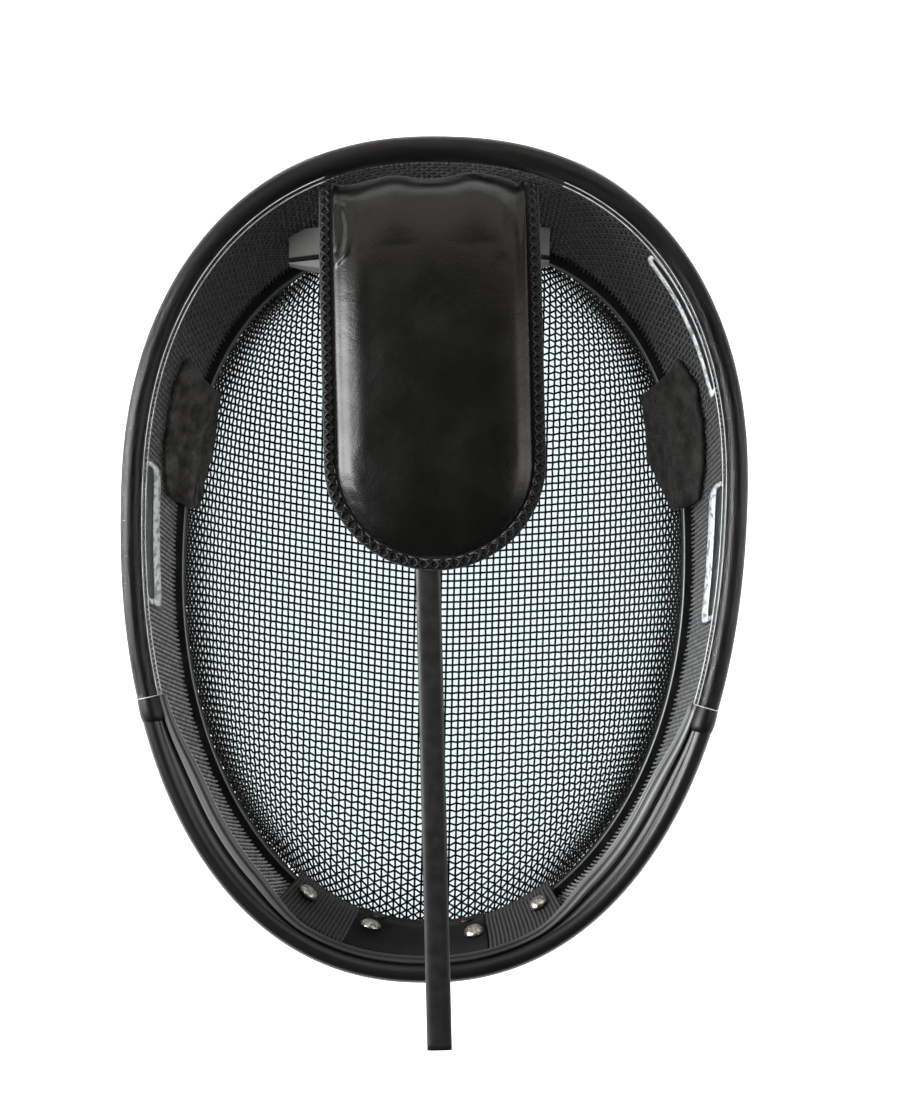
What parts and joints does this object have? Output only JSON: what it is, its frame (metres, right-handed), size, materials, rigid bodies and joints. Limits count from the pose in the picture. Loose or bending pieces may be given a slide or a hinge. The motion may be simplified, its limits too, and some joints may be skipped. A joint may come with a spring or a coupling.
{
  "type": "fencing mask",
  "caption": "Bare woven-wire fencing mask cage with a rolled rim, a padded sprung tongue and a foam bumper.",
  "frame": {"origin": "centre of the bounding box in X and Y, on the dome's lowest point in Z: the mask lies on its face with the opening up", "axes": "+X to the wearer's left hand side as seen into the opening from above with the crown up, +Y from the chin to the crown, +Z out of the face opening"},
  "size_m": [0.2318, 0.3298, 0.1505],
  "materials": {
    "wire": "black enamelled woven steel wire, satin",
    "band": "black painted steel band, satin",
    "roll": "smooth black rubber roll, satin",
    "sleeve": "clear PVC tube, glossy",
    "edging": "black PVC edging, ribbed, glossy on its ridges",
    "spring": "spring strip in a smooth black sleeve, soft sheen",
    "vinyl": "black coated cloth, glossy, fine grain",
    "binding": "black laced edge binding",
    "grey_foam": "dark grey closed-cell foam, matte",
    "pale_foam": "lighter grey foam, matte",
    "black_foam": "thin black foam strip, matte",
    "hook": "black hook fabric, matte and fuzzy",
    "film": "clear label film with a white edge",
    "webbing": "black ribbed webbing",
    "tab": "smooth black coated cloth",
    "bright_rivet": "plated steel rivet heads, mottled",
    "dull_rivet": "dull brownish rivet heads"
  },
  "bodies": {
    "root": {"chin_tab": "tab", "chin_webbing_left": "webbing", "chin_webbing_right": "webbing", "face_mesh": "wire", "forehead_block": "grey_foam", "forehead_cushion": "pale_foam", "forehead_strip": "black_foam", "hook_patch_left": "hook", "hook_patch_right": "hook", "label_left": "film", "label_right": "film", "label_upper": "film", "lower_rim": "edging", "pad_binding": "binding", "rim_sleeve": "sleeve", "rivet_1": "bright_rivet", "rivet_2": "bright_rivet", "rivet_3": "bright_rivet", "rivet_4": "bright_rivet", "rivet_inner_1": "dull_rivet", "rivet_inner_2": "dull_rivet", "seam_band": "band", "side_mesh": "wire", "tongue_pad": "vinyl", "tongue_spring": "spring", "upper_rim": "roll"}
  },
  "joints": []
}
